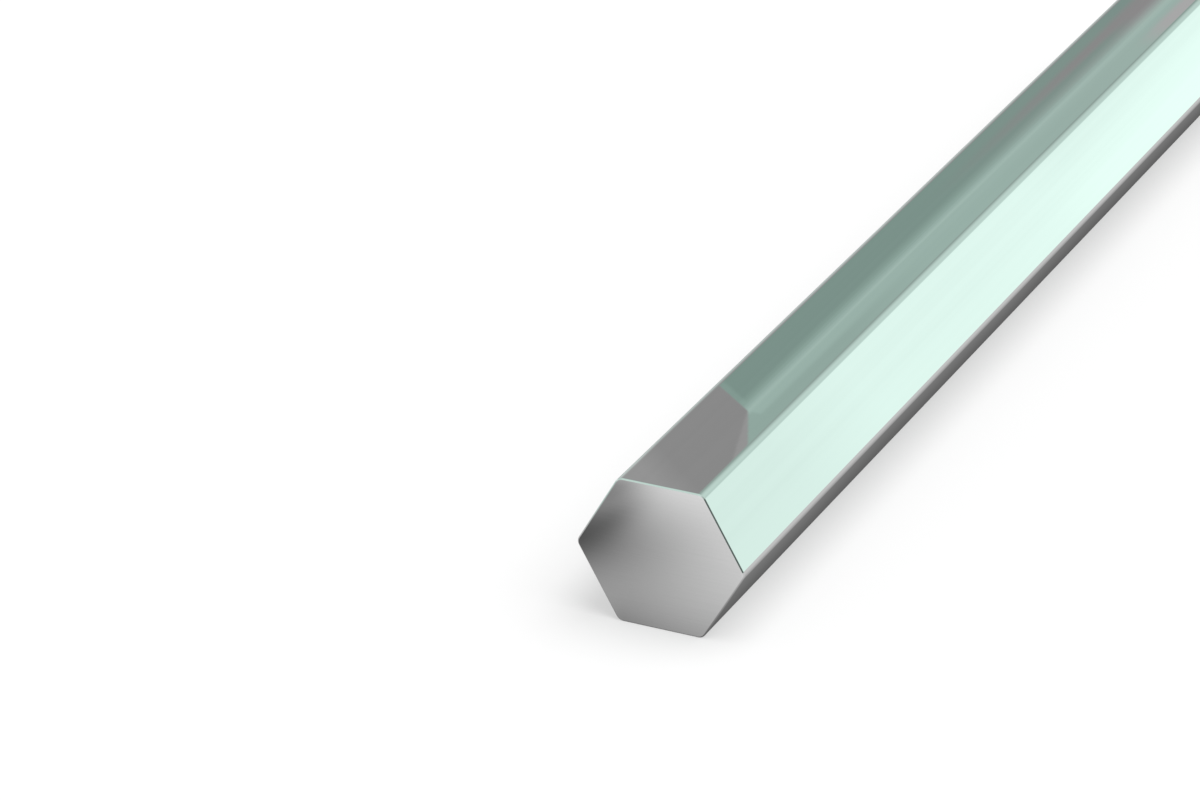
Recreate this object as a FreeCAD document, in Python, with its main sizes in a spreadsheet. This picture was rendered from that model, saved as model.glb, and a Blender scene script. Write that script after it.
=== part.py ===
import FreeCAD, Part
import math
import os
import Sketcher

# Hexagonal bar stock: one bright-drawn steel bar, sawn square and deburred at both ends.
# Millimetres, +Z up. The bar lies on one flat on the floor plane z = 0 and runs along Y,
# with the origin in the middle of the flat that it rests on.

doc = FreeCAD.newDocument("hex_bar_stock")

# ---------------------------------------------------------------- driving dimensions
sheet = doc.addObject("Spreadsheet::Sheet", "Sizes")
sizes = [
    # alias, value in mm, meaning
    ("across_flats", "50", "width across flats"),
    ("bar_length", "500", "cut length"),
    ("corner_radius", "2.8", "rolled-in radius along the six long corners"),
    ("end_break", "0.4", "broken edge round each sawn end, 45 degrees"),
]
for row, (alias, value, note) in enumerate(sizes, start=1):
    sheet.set("A%d" % row, note)
    sheet.set("B%d" % row, value)
    sheet.setAlias("B%d" % row, alias)
doc.recompute()

# ---------------------------------------------------------------- the bar
body = doc.addObject("PartDesign::Body", "HexBar")
body.Label = "hex_bar"


def origin_plane(role):
    for feature in body.Origin.OriginFeatures:
        if feature.Role == role:
            return feature
    raise RuntimeError("no plane " + role)


# Section: a regular hexagon standing on one side, seen from the near end.
section = body.newObject("Sketcher::SketchObject", "Section")
section.AttachmentSupport = [(origin_plane("XZ_Plane"), "")]
section.MapMode = "FlatFace"

flats = 50.0
apothem = flats / 2.0
circumradius = flats / math.sqrt(3.0)
centre = FreeCAD.Vector(0.0, apothem, 0.0)
corners = []
for i in range(6):
    # corner 0 is the right end of the bottom side, and they run anticlockwise
    angle = math.radians(-60.0 + 60.0 * i)
    corners.append(centre + FreeCAD.Vector(circumradius * math.cos(angle), circumradius * math.sin(angle), 0.0))
for i in range(6):
    section.addGeometry(Part.LineSegment(corners[i], corners[(i + 1) % 6]), False)
circle = section.addGeometry(Part.Circle(centre, FreeCAD.Vector(0, 0, 1), circumradius), True)

for i in range(6):
    section.addConstraint(Sketcher.Constraint("Coincident", i, 2, (i + 1) % 6, 1))
for i in range(6):
    section.addConstraint(Sketcher.Constraint("PointOnObject", i, 1, circle))
for i in range(1, 6):
    section.addConstraint(Sketcher.Constraint("Equal", 0, i))
# side 5 is the bottom side, on the floor line; the centre is on the vertical axis
section.addConstraint(Sketcher.Constraint("Horizontal", 5))
section.addConstraint(Sketcher.Constraint("PointOnObject", 5, 1, -1))
section.addConstraint(Sketcher.Constraint("PointOnObject", circle, 3, -2))
# bottom side to top side is the width across flats
width = section.addConstraint(Sketcher.Constraint("DistanceY", 5, 1, 2, 2, flats))
section.renameConstraint(width, "flats")
section.setExpression("Constraints.flats", "Sizes.across_flats")
doc.recompute()

# Length, half each way from the section.
bar = body.newObject("PartDesign::Pad", "Bar")
bar.Profile = section
if hasattr(bar, "SideType"):
    bar.SideType = "Symmetric"
else:
    bar.Midplane = True
bar.setExpression("Length", "Sizes.bar_length")
doc.recompute()
section.Visibility = False


def edges_where(shape, test):
    return ["Edge%d" % (n + 1) for n, edge in enumerate(shape.Edges) if test(edge)]


def is_long(edge):
    a, b = edge.Vertexes[0].Point, edge.Vertexes[-1].Point
    return abs(a.y - b.y) > 1.0


# Radius along the six long corners.
long_corners = body.newObject("PartDesign::Fillet", "LongCorners")
names = edges_where(bar.Shape, is_long)
if len(names) != 6:
    raise RuntimeError("expected 6 long corners, found %d" % len(names))
long_corners.Base = (bar, names)
long_corners.setExpression("Radius", "Sizes.corner_radius")
doc.recompute()


def is_on_end(edge):
    half = float(sheet.bar_length) / 2.0
    on_end = all(abs(abs(v.Point.y) - half) < 1e-6 for v in edge.Vertexes)
    return on_end and not is_long(edge)


# Broken edge round both ends.
end_edges = body.newObject("PartDesign::Chamfer", "EndEdges")
names = edges_where(long_corners.Shape, is_on_end)
if len(names) != 24:
    raise RuntimeError("expected 24 end edges, found %d" % len(names))
end_edges.Base = (long_corners, names)
end_edges.ChamferType = "Equal distance"
end_edges.setExpression("Size", "Sizes.end_break")
body.Tip = end_edges
doc.recompute()

# ---------------------------------------------------------------- checks and export
for obj in doc.Objects:
    if "Invalid" in obj.State or "Error" in obj.State:
        raise RuntimeError("%s failed: %s" % (obj.Name, obj.State))

shape = body.Shape
if shape.isNull() or not shape.isValid() or len(shape.Solids) != 1:
    raise RuntimeError("hex_bar is not one valid solid")

s = float(sheet.across_flats)
r = float(sheet.corner_radius)
length = float(sheet.bar_length)
# a hexagon less the six sharp corners that the radius takes off
area = math.sqrt(3.0) / 2.0 * s * s - 6.0 * r * r * (math.tan(math.radians(30.0)) - math.radians(30.0))
print("volume %.1f mm3, section times length %.1f mm3" % (shape.Volume, area * length))
print("faces %d, box %s" % (len(shape.Faces), shape.BoundBox))
if not 0.998 < shape.Volume / (area * length) <= 1.0:
    raise RuntimeError("the bar's volume is wrong")

os.makedirs("parts", exist_ok=True)
shape.exportStep("parts/%s.step" % body.Label)
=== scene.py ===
import math

import bpy
from mathutils import Matrix, Vector


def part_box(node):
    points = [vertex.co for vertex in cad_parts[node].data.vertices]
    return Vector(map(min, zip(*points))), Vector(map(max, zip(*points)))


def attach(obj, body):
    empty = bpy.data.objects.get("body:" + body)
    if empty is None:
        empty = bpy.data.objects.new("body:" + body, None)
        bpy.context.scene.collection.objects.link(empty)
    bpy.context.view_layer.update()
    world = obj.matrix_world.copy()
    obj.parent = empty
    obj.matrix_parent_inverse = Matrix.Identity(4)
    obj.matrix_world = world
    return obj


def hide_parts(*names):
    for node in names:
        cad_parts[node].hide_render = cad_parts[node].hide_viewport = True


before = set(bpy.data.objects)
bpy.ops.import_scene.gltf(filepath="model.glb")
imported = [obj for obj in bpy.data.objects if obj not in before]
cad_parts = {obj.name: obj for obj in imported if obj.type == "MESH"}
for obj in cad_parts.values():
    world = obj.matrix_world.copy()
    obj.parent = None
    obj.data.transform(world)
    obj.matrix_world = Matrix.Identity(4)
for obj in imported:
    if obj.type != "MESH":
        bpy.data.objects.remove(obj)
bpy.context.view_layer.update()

scene = bpy.context.scene
scene.view_settings.view_transform = "Standard"
scene.view_settings.look = "None"

# ---------------------------------------------------------------- camera
# A long lens from the front right, looking down on the bar at about 26 degrees.
RIGHT = Vector((0.90286864, 0.42985768, -0.00711311))
DOWN = Vector((0.18188481, -0.39691607, -0.89965302))
AHEAD = Vector((-0.38954607, 0.81097473, -0.43654765))
camera_data = bpy.data.cameras.new("camera")
camera_data.sensor_width = 36.0
camera_data.lens = 154.2715
camera_data.clip_start, camera_data.clip_end = 0.05, 60.0
camera = bpy.data.objects.new("camera", camera_data)
scene.collection.objects.link(camera)
turn = Matrix((RIGHT, -DOWN, -AHEAD)).transposed()
camera.matrix_world = Matrix.Translation((0.594616, -1.530005, 0.764498)) @ turn.to_4x4()
scene.camera = camera


# ---------------------------------------------------------------- node helpers
def link(tree, a, b):
    tree.links.new(a, b)


def put(tree, socket, value):
    """Gives an input a plain number or colour, or links it."""
    if isinstance(value, bpy.types.NodeSocket):
        tree.links.new(value, socket)
    elif hasattr(value, "__len__") and len(value) == 3 and len(socket.default_value) == 4:
        socket.default_value = (*value, 1.0)
    else:
        socket.default_value = value


def math_node(tree, op, a, b=None, c=None, clamp=False):
    n = tree.nodes.new("ShaderNodeMath")
    n.operation, n.use_clamp = op, clamp
    for s, v in zip(n.inputs, (a, b, c)):
        if v is not None:
            put(tree, s, v)
    return n.outputs[0]


def ramp_range(tree, value, lo, hi, to_lo=0.0, to_hi=1.0, smooth=True):
    n = tree.nodes.new("ShaderNodeMapRange")
    n.interpolation_type = "SMOOTHSTEP" if smooth else "LINEAR"
    n.clamp = True
    put(tree, n.inputs[0], value)
    for s, v in zip(n.inputs[1:5], (lo, hi, to_lo, to_hi)):
        s.default_value = v
    return n.outputs[0]


def mix(tree, factor, a, b, blend="MIX"):
    n = tree.nodes.new("ShaderNodeMix")
    n.data_type, n.blend_type, n.clamp_factor = "RGBA", blend, True
    put(tree, n.inputs[0], factor)
    put(tree, n.inputs[6], a)
    put(tree, n.inputs[7], b)
    return n.outputs[2]


def colours(tree, value, stops, ease="EASE"):
    n = tree.nodes.new("ShaderNodeValToRGB")
    n.color_ramp.interpolation = ease
    put(tree, n.inputs[0], value)
    keys = n.color_ramp.elements
    while len(keys) < len(stops):
        keys.new(0.5)
    for k, (p, c) in zip(keys, stops):
        k.position = p
        k.color = (c, c, c, 1.0) if isinstance(c, (int, float)) else (*c, 1.0)
    return n.outputs[0]


# ---------------------------------------------------------------- bar
# The bar's sizes come from the CAD box: width across flats, length, and the
# long corners' radius from how far they fall short of sharp ones.
lo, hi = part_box("hex_bar")
APOTHEM = (hi.z - lo.z) / 2
MIDDLE = (hi.z + lo.z) / 2
HALF_LENGTH = (hi.y - lo.y) / 2
SECANT = 1 / math.cos(math.radians(30))
RADIUS = (APOTHEM * SECANT - (hi.x - lo.x) / 2) / (SECANT - 1)
BREAK = 0.0004
SOFT = 0.00012      # rounding where the broken edge meets the flats and the end
ARC_STEPS = 14
FLAT_PLACES = (0.0, 0.03, 0.1, 0.3, 0.5, 0.7, 0.9, 0.97)


def section(inset):
    """The bar's outline, moved inwards: (x, z, nx, nz, how far round a corner)."""
    out = []
    for k in range(6):
        a0 = math.radians(60 * k - 30)
        cx = (APOTHEM - RADIUS) * SECANT * math.cos(math.radians(60 * k))
        cz = (APOTHEM - RADIUS) * SECANT * math.sin(math.radians(60 * k))
        arc = []
        for i in range(ARC_STEPS + 1):
            a = a0 + math.radians(60) * i / ARC_STEPS
            n = (math.cos(a), math.sin(a))
            arc.append((cx + (RADIUS - inset) * n[0], cz + (RADIUS - inset) * n[1], *n,
                        math.sin(math.pi * i / ARC_STEPS) ** 0.5))
        out += arc
        b = math.radians(60 * (k + 1))
        n = arc[-1][2:4]
        ex = (APOTHEM - RADIUS) * SECANT * math.cos(b) + (RADIUS - inset) * n[0]
        ez = (APOTHEM - RADIUS) * SECANT * math.sin(b) + (RADIUS - inset) * n[1]
        for s in FLAT_PLACES[1:]:
            out.append((arc[-1][0] + (ex - arc[-1][0]) * s, arc[-1][1] + (ez - arc[-1][1]) * s,
                        *n, 0.0))
    return out


def end_profile():
    """From the end's flat round the broken edge to the sides: (from the end, inset, angle)."""
    t = SOFT * math.tan(math.radians(22.5))
    out = []
    for d in (90, 75, 60, 45):
        a = math.radians(d)
        out.append((SOFT * (1 - math.sin(a)), BREAK + t - SOFT * math.cos(a), a))
    for d in (45, 30, 15, 0):
        a = math.radians(d)
        out.append((BREAK + t - SOFT * math.sin(a), SOFT * (1 - math.cos(a)), a))
    return out


verts, normals, rounding, faces, rings = [], [], [], [], []


def add_ring(points):
    start = len(verts)
    for co, no, w in points:
        verts.append(co)
        normals.append(no)
        rounding.append(w)
    rings.append(list(range(start, len(verts))))


profile = end_profile()
edge = section(profile[0][1])
near_y, far_y = -HALF_LENGTH, HALF_LENGTH
SPREAD = (0.12, 0.3, 0.5, 0.7, 0.88, 0.97)
for s in SPREAD:
    add_ring([((x * s, near_y, MIDDLE + z * s), (0, -1, 0), 0.0) for x, z, *_ in edge])
for axial, inset, a in profile:
    add_ring([((x, near_y + axial, MIDDLE + z),
               (nx * math.cos(a), -math.sin(a), nz * math.cos(a)),
               max(w, math.sin(2 * a))) for x, z, nx, nz, w in section(inset)])
lengthwise = [0.002, 0.006] + [0.5 * i / 40 for i in range(1, 40)] + [0.494, 0.498]
for s in lengthwise:
    add_ring([((x, near_y + s, MIDDLE + z), (nx, 0, nz), w) for x, z, nx, nz, w in section(0.0)])
for axial, inset, a in reversed(profile):
    add_ring([((x, far_y - axial, MIDDLE + z),
               (nx * math.cos(a), math.sin(a), nz * math.cos(a)),
               max(w, math.sin(2 * a))) for x, z, nx, nz, w in section(inset)])
for s in reversed(SPREAD):
    add_ring([((x * s, far_y, MIDDLE + z * s), (0, 1, 0), 0.0) for x, z, *_ in edge])
for y, side in ((near_y, -1), (far_y, 1)):
    verts.append((0, y, MIDDLE))
    normals.append((0, side, 0))
    rounding.append(0.0)
count = len(rings[0])
for a, b in zip(rings, rings[1:]):
    for i in range(count):
        j = (i + 1) % count
        faces.append((a[i], a[j], b[j], b[i]))
for i in range(count):
    j = (i + 1) % count
    faces.append((len(verts) - 2, rings[0][j], rings[0][i]))
    faces.append((len(verts) - 1, rings[-1][i], rings[-1][j]))

mesh = bpy.data.meshes.new("bright_bar")
mesh.from_pydata([tuple(v) for v in verts], [], faces)
mesh.validate()
mesh.update()
if mesh.polygons[0].normal.y > 0 and mesh.polygons[0].center.y < 0:
    mesh.flip_normals()
mesh.polygons.foreach_set("use_smooth", [True] * len(mesh.polygons))
mesh.normals_split_custom_set_from_vertices([Vector(n).normalized() for n in normals])
wear = mesh.attributes.new("corner_wear", "FLOAT", "POINT")
wear.data.foreach_set("value", rounding)
cut = mesh.attributes.new("cut_face", "FLOAT", "POINT")
cut.data.foreach_set("value", [1.0 if abs(n[1]) > 0.99 else 0.0 for n in normals])
bar = bpy.data.objects.new("bright_bar", mesh)
scene.collection.objects.link(bar)
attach(bar, "root")
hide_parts("hex_bar")


# ---------------------------------------------------------------- polished drawn steel
def bright_steel():
    mat = bpy.data.materials.new("bright_steel")
    mat.use_nodes = True
    t = mat.node_tree
    t.nodes.clear()
    out = t.nodes.new("ShaderNodeOutputMaterial")
    bsdf = t.nodes.new("ShaderNodeBsdfPrincipled")
    link(t, bsdf.outputs[0], out.inputs[0])
    bsdf.inputs["Metallic"].default_value = 1.0
    bsdf.inputs["IOR"].default_value = 2.5
    where = t.nodes.new("ShaderNodeTexCoord").outputs["Object"]

    def stretched(scale):
        m = t.nodes.new("ShaderNodeMapping")
        m.inputs["Scale"].default_value = scale
        link(t, where, m.inputs["Vector"])
        return m.outputs[0]

    def noise(vector, scale=1.0, detail=2.0, rough=0.5):
        n = t.nodes.new("ShaderNodeTexNoise")
        link(t, vector, n.inputs["Vector"])
        n.inputs["Scale"].default_value = scale
        n.inputs["Detail"].default_value = detail
        n.inputs["Roughness"].default_value = rough
        return n.outputs[0]

    def painted(name):
        n = t.nodes.new("ShaderNodeAttribute")
        n.attribute_name = name
        return n.outputs["Fac"]

    broad = noise(stretched((260, 1.2, 260)), detail=2.0)            # drawn bands, some mm wide
    fine = noise(stretched((1900, 5, 1900)), detail=3.0, rough=0.6)  # drawing lines
    cloud = noise(stretched((28, 9, 28)), detail=3.0)                # handling and oil film
    lay = noise(stretched((16, 16, 2600)), detail=3.0, rough=0.6)    # ground lines across the ends
    worn, end = painted("corner_wear"), painted("cut_face")

    base = mix(t, ramp_range(t, broad, 0.3, 0.7), (0.762, 0.763, 0.762), (0.786, 0.786, 0.786))
    base = mix(t, math_node(t, "MULTIPLY", ramp_range(t, cloud, 0.35, 0.7), 0.25), base, (0.776, 0.777, 0.776))
    base = mix(t, math_node(t, "MULTIPLY", end, 0.8), base,
               mix(t, ramp_range(t, lay, 0.3, 0.7), (0.762, 0.762, 0.762), (0.786, 0.786, 0.786)))
    base = mix(t, math_node(t, "MULTIPLY", worn, 0.5), base, (0.84, 0.84, 0.84))
    put(t, bsdf.inputs["Base Color"], base)

    rough = ramp_range(t, broad, 0.25, 0.75, 0.004, 0.007)
    rough = math_node(t, "ADD", rough, ramp_range(t, fine, 0.3, 0.75, 0.0, 0.003))
    rough = math_node(t, "ADD", rough, ramp_range(t, cloud, 0.35, 0.75, 0.0, 0.002))
    rough = math_node(t, "ADD", rough, math_node(t, "MULTIPLY", end, ramp_range(t, lay, 0.3, 0.7, 0.04, 0.07)))
    put(t, bsdf.inputs["Roughness"], rough)

    height = math_node(t, "MULTIPLY", math_node(t, "ADD", fine, broad), 0.6)
    height = math_node(t, "ADD", math_node(t, "MULTIPLY", height, math_node(t, "SUBTRACT", 1.0, end)),
                       math_node(t, "MULTIPLY", lay, end))
    bump = t.nodes.new("ShaderNodeBump")
    bump.inputs["Strength"].default_value = 0.02
    bump.inputs["Distance"].default_value = 0.00002
    link(t, height, bump.inputs["Height"])
    link(t, bump.outputs[0], bsdf.inputs["Normal"])
    return mat


bar.data.materials.append(bright_steel())


# ---------------------------------------------------------------- floor
def floor_material():
    """Plain white to the eye. Reflections see instead an emission painted with shade: a painted contact shadow round
    the bar and painted dark spots off its near end.
    """
    mat = bpy.data.materials.new("floor_white")
    mat.use_nodes = True
    t = mat.node_tree
    t.nodes.clear()
    out = t.nodes.new("ShaderNodeOutputMaterial")
    lit = t.nodes.new("ShaderNodeBsdfDiffuse")
    lit.inputs[0].default_value = (0.15, 0.15, 0.15, 1)
    glow = t.nodes.new("ShaderNodeEmission")
    glow.inputs[0].default_value = (1, 1, 1, 1)
    glow.inputs[1].default_value = 0.524
    seen = t.nodes.new("ShaderNodeAddShader")
    link(t, lit.outputs[0], seen.inputs[0])
    link(t, glow.outputs[0], seen.inputs[1])
    # painted shade: the floor as reflections see it is an emission whose colour is painted
    mirrored_painted_shade = t.nodes.new("ShaderNodeEmission")
    place = t.nodes.new("ShaderNodeTexCoord").outputs["Object"]
    xyz = t.nodes.new("ShaderNodeSeparateXYZ")
    link(t, place, xyz.inputs[0])
    x, y = xyz.outputs[:2]

    def root(a, b):
        return math_node(t, "SQRT", math_node(t, "ADD", math_node(t, "MULTIPLY", a, a), math_node(t, "MULTIPLY", b, b)))

    def painted_dark_spot(cx, cy, sx, sy, depth):
        """A painted dark spot of shade: 1 outside, 1 - depth in the middle."""
        u = math_node(t, "MULTIPLY_ADD", x, 1 / sx, -cx / sx)
        v = math_node(t, "MULTIPLY_ADD", y, 1 / sy, -cy / sy)
        r2 = math_node(t, "ADD", math_node(t, "MULTIPLY", u, u), math_node(t, "MULTIPLY", v, v))
        g = math_node(t, "EXPONENT", math_node(t, "MULTIPLY", r2, -1.0))
        # the spots end left of what the end can mirror
        g = math_node(t, "MULTIPLY", g, ramp_range(t, x, -0.074, -0.060))
        return math_node(t, "MULTIPLY_ADD", g, -depth, 1.0)

    # distance to the strip that the bar rests on
    dx = math_node(t, "MAXIMUM", math_node(t, "SUBTRACT", math_node(t, "ABSOLUTE", x), 0.0133), 0.0)
    dy = math_node(t, "MAXIMUM", math_node(t, "SUBTRACT", math_node(t, "ABSOLUTE", y), 0.25), 0.0)
    away = root(dx, dy)
    scaled = math_node(t, "DIVIDE", away, math_node(t, "ADD", away, 0.05))
    # painted contact shadow: the mirrored floor is painted darker the nearer it lies to the bar
    painted_side_shade = colours(t, scaled, [(0.0, 0.09), (0.05, 0.15), (0.12, 0.235), (0.24, 0.35), (0.36, 0.47), (0.46, 0.58),
                                 (0.57, 0.645), (0.76, 0.66), (1.0, 0.66)], ease="LINEAR")
    # painted shade: the lamp stands on the right, so the left side is painted dimmer
    left = colours(t, ramp_range(t, x, -0.6, 0.0, smooth=False),
                   [(0.0, 0.95), (0.72, 0.74), (0.90, 0.70), (0.975, 1.0), (1.0, 1.0)], ease="LINEAR")
    painted_side_shade = mix(t, 1.0, painted_side_shade, left, "MULTIPLY")
    # painted light: far out on the left it is painted with the room's green
    painted_side_shade = mix(t, ramp_range(t, x, -0.42, -0.25, 1.0, 0.0), painted_side_shade, mix(t, 1.0, painted_side_shade, (0.84, 1.10, 1.01), "MULTIPLY"))
    # painted shade: off the ends the floor is painted lighter, as it is more open there, and painted darkest to the
    # left of the near one
    painted_end_shade = math_node(t, "EXPONENT", math_node(t, "MULTIPLY", away, -1 / 0.059))
    painted_end_shade = math_node(t, "MULTIPLY", painted_end_shade, ramp_range(t, x, -0.02, 0.02, -0.885, -0.775))
    before = math_node(t, "ADD", painted_end_shade, 1.188)
    before = math_node(t, "MULTIPLY", before, ramp_range(t, away, 0.092, 0.18, 1.0, 0.62))
    # painted dark spots of shade to the left of the near end
    before = math_node(t, "MULTIPLY", before, painted_dark_spot(-0.0683, -0.2936, 0.0499, 0.0393, 0.98))
    before = math_node(t, "MULTIPLY", before, painted_dark_spot(-0.0464, -0.3116, 0.0077, 0.0195, 0.40))
    before = math_node(t, "MULTIPLY", before, painted_dark_spot(-0.0552, -0.3327, 0.0081, 0.0139, 0.53))
    off_end = ramp_range(t, math_node(t, "DIVIDE", dy, math_node(t, "MAXIMUM", away, 0.0001)), 0.2, 0.7)
    # the sides mirror the floor further out, also off the ends
    off_end = math_node(t, "MULTIPLY", off_end, ramp_range(t, math_node(t, "ABSOLUTE", x), 0.060, 0.085, 1.0, 0.0))
    # the painted shade next to the bar and off its ends
    shade = mix(t, off_end, painted_side_shade, before)
    link(t, shade, mirrored_painted_shade.inputs[0])
    # glossy rays see the painted shade, all other rays the plain white floor
    path = t.nodes.new("ShaderNodeLightPath")
    both = t.nodes.new("ShaderNodeMixShader")
    link(t, path.outputs["Is Glossy Ray"], both.inputs[0])
    link(t, seen.outputs[0], both.inputs[1])
    link(t, mirrored_painted_shade.outputs[0], both.inputs[2])
    link(t, both.outputs[0], out.inputs[0])
    return mat


floor_mesh = bpy.data.meshes.new("floor")
floor_mesh.from_pydata([(-15, -15, 0), (15, -15, 0), (15, 15, 0), (-15, 15, 0)], [], [(0, 1, 2, 3)])
floor = bpy.data.objects.new("floor", floor_mesh)
floor.data.materials.append(floor_material())
scene.collection.objects.link(floor)


# ---------------------------------------------------------------- studio light
def studio():
    """A pale room. Long soft panels stand along the bar, so they are drawn by the angle round its axis."""
    world = bpy.data.worlds.new("studio")
    scene.world = world
    world.use_nodes = True
    t = world.node_tree
    t.nodes.clear()
    out = t.nodes.new("ShaderNodeOutputWorld")
    light = t.nodes.new("ShaderNodeBackground")
    link(t, light.outputs[0], out.inputs[0])
    xyz = t.nodes.new("ShaderNodeSeparateXYZ")
    link(t, t.nodes.new("ShaderNodeTexCoord").outputs["Generated"], xyz.inputs[0])
    x, y, z = xyz.outputs
    round_axis = math_node(t, "ARCTAN2", x, z)                       # 0 up, + to the right
    turn01 = math_node(t, "MULTIPLY_ADD", round_axis, 1 / math.pi, 0.5)  # -90..90 deg to 0..1

    def at(deg):
        return deg / 180 + 0.5

    back = colours(t, turn01, [
        (at(-90), (0.58, 0.65, 0.63)), (at(-62), (0.40, 0.425, 0.415)), (at(-46), (0.328, 0.328, 0.328)),
        (at(-38), (0.315, 0.315, 0.315)), (at(-34), (0.33, 0.40, 0.37)), (at(-20), (0.345, 0.455, 0.415)),
        (at(-8), (0.44, 0.575, 0.525)), (at(5), (0.54, 0.70, 0.64)), (at(20), (0.60, 0.78, 0.715)),
        (at(33), (0.62, 0.805, 0.735)), (at(50), (0.59, 0.77, 0.705)), (at(64), (0.595, 0.78, 0.715)),
        (at(72), (0.78, 1.00, 0.92)), (at(77), (0.86, 1.088, 1.004)), (at(81), (0.868, 1.097, 1.012)),
        (at(84), (0.91, 1.15, 1.06)), (at(90), (0.86, 1.02, 0.96))], ease="LINEAR")
    along = colours(t, ramp_range(t, y, 0.80, 0.88, smooth=False),
                    [(0.0, 0.945), (0.26, 0.985), (0.41, 1.062), (0.60, 1.072), (1.0, 1.145)], ease="LINEAR")
    back = mix(t, 1.0, back, mix(t, ramp_range(t, turn01, at(40), at(70)), (1, 1, 1), along), "MULTIPLY")
    low = ramp_range(t, turn01, at(81.1), at(82.0), 0.955, 1.03, smooth=False)
    back = mix(t, 1.0, back, mix(t, ramp_range(t, y, 0.857, 0.866), (1, 1, 1), low), "MULTIPLY")
    back = mix(t, 1.0, back, mix(t, ramp_range(t, turn01, at(-20), at(0)),
                                 ramp_range(t, y, 0.8092, 0.8122, 1.17, 1.0, smooth=False), (1, 1, 1)), "MULTIPLY")
    middle = colours(t, turn01, [
        (at(-90), (0.86, 0.95, 0.92)), (at(-66), (0.60, 0.73, 0.69)), (at(-45), (0.46, 0.61, 0.555)),
        (at(-20), (0.38, 0.49, 0.455)), (at(0), (0.36, 0.41, 0.395)), (at(20), (0.55, 0.64, 0.61)),
        (at(45), (0.92, 1.08, 1.02)), (at(66), (0.66, 0.77, 0.73)), (at(90), (0.80, 0.90, 0.87))], ease="LINEAR")
    front = colours(t, turn01, [
        (at(-90), (0.62, 0.68, 0.66)), (at(-50), (0.72, 0.91, 0.835)), (at(-20), (0.72, 0.915, 0.84)),
        (at(10), (0.66, 0.82, 0.76)), (at(40), (0.46, 0.56, 0.52)), (at(60), (0.38, 0.47, 0.435)),
        (at(70), (0.11, 0.145, 0.13)), (at(80), (0.08, 0.11, 0.10)), (at(90), (0.24, 0.28, 0.27))], ease="LINEAR")
    room = mix(t, ramp_range(t, y, 0.25, 0.75), middle, back)
    room = mix(t, ramp_range(t, y, -0.6, -0.15), front, room)

    # A narrow banded panel, high on the left beyond the bar. It is drawn on a level
    # plane overhead: u to the right and v along the bar, both over the height.
    height = math_node(t, "MAXIMUM", z, 0.001)
    u, v = math_node(t, "DIVIDE", x, height), math_node(t, "DIVIDE", y, height)
    across = ramp_range(t, turn01, at(-41), at(-39), smooth=False)

    def on(deg):
        return (deg + 41) / 2

    near = colours(t, across, [
        (on(-39.89), (0.25, 0.36, 0.32)), (on(-39.77), (0.305, 0.435, 0.385)), (on(-39.68), (0.385, 0.53, 0.48)),
        (on(-39.62), (0.465, 0.625, 0.565)), (on(-39.57), (0.40, 0.55, 0.495)), (on(-39.43), (0.40, 0.55, 0.495)),
        (on(-39.37), (0.355, 0.49, 0.44))], ease="LINEAR")
    far = colours(t, across, [
        (on(-40.20), (0.26, 0.355, 0.32)), (on(-40.09), (0.315, 0.31, 0.31)), (on(-40.03), (0.315, 0.31, 0.31)),
        (on(-39.92), (0.26, 0.345, 0.315)), (on(-39.77), (0.33, 0.41, 0.38)), (on(-39.68), (0.395, 0.525, 0.48)),
        (on(-39.61), (0.455, 0.605, 0.55)), (on(-39.52), (0.40, 0.535, 0.485))], ease="LINEAR")
    last = colours(t, across, [
        (on(-40.24), (0.25, 0.345, 0.315)), (on(-40.11), (0.315, 0.315, 0.315)), (on(-39.90), (0.32, 0.31, 0.315)),
        (on(-39.77), (0.365, 0.40, 0.39)), (on(-39.62), (0.455, 0.60, 0.545)), (on(-39.50), (0.39, 0.53, 0.485)),
        (on(-39.42), (0.41, 0.525, 0.485)), (on(-39.33), (0.485, 0.485, 0.485))], ease="LINEAR")
    tone = mix(t, ramp_range(t, v, 2.105, 2.337), near, far)
    tone = mix(t, ramp_range(t, v, 2.345, 2.398), tone, last)
    # its right border is lighter further off
    border = colours(t, across, [(on(-39.42), 0.0), (on(-39.37), 1.0)], ease="LINEAR")
    lift = mix(t, border, (1, 1, 1), ramp_range(t, v, 1.96, 2.06, 1.0, 1.11, smooth=False))
    lift = mix(t, ramp_range(t, v, 2.105, 2.30), lift, (1, 1, 1))
    tone = mix(t, 1.0, tone, lift, "MULTIPLY")
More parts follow.
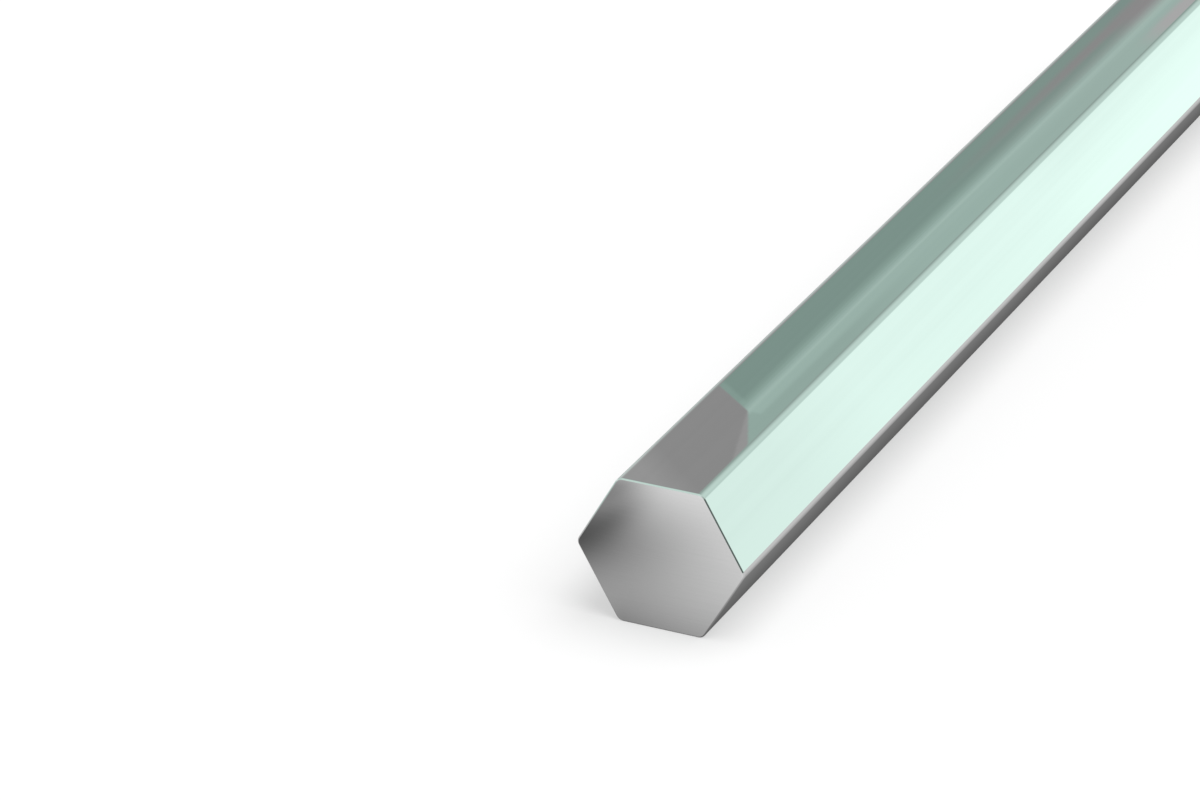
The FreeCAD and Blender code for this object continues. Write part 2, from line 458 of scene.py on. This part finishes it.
    # its near end is cut on a slant, steeper on the right
    step = math_node(t, "SUBTRACT", u, -0.82762)
    end = math_node(t, "MINIMUM", math_node(t, "MULTIPLY_ADD", step, -0.833, 1.87453),
                    math_node(t, "MULTIPLY_ADD", step, -2.27, 1.87453))
    past_end = math_node(t, "SUBTRACT", v, end)
    # a lighter line follows the cut on the left, and the right border begins a little later
    line = math_node(t, "MULTIPLY", ramp_range(t, past_end, 0.0030, 0.0065, 1.0, 0.0),
                     ramp_range(t, u, -0.8342, -0.8318, 1.0, 0.0))
    tone = mix(t, 1.0, tone, mix(t, line, (1, 1, 1), (1.14, 1.13, 1.135)), "MULTIPLY")
    start = math_node(t, "MULTIPLY", ramp_range(t, v, 1.8738, 1.8756, 1.0, 0.0), ramp_range(t, u, -0.8266, -0.8256))
    tone = mix(t, start, tone, mix(t, 1.0, tone, (0.355, 0.490, 0.441), "DARKEN"))
    # a paler wedge stands before the steep part
    wedge = math_node(t, "MINIMUM", math_node(t, "MULTIPLY_ADD", math_node(t, "SUBTRACT", u, -0.82330), -3.4, 1.85853), end)
    past_wedge = math_node(t, "SUBTRACT", v, wedge)
    tone = mix(t, ramp_range(t, past_end, -0.0006, 0.0006), (0.372, 0.372, 0.372), tone)
    there = math_node(t, "MULTIPLY", ramp_range(t, past_wedge, -0.0005, 0.0005),
                      math_node(t, "MULTIPLY", ramp_range(t, turn01, at(-44), at(-41)),
                                ramp_range(t, turn01, at(-37), at(-33), 1.0, 0.0)))
    there = math_node(t, "MULTIPLY", there, ramp_range(t, z, 0.0, 0.1))
    room = mix(t, there, room, tone)

    path = t.nodes.new("ShaderNodeLightPath")
    colour = mix(t, path.outputs["Is Glossy Ray"], (1.333, 1.333, 1.333), room)
    colour = mix(t, path.outputs["Is Camera Ray"], colour, (1.0, 1.0, 1.0))
    link(t, colour, light.inputs[0])
    light.inputs[1].default_value = 1.0


studio()

lamp_data = bpy.data.lights.new("overhead", "SUN")
lamp_data.energy = 6.8
lamp_data.angle = math.radians(60)
lamp = bpy.data.objects.new("overhead", lamp_data)
lamp.rotation_euler = Vector((0.36, 0.05, 1.0)).to_track_quat("Z", "Y").to_euler()
lamp.visible_glossy = False
scene.collection.objects.link(lamp)
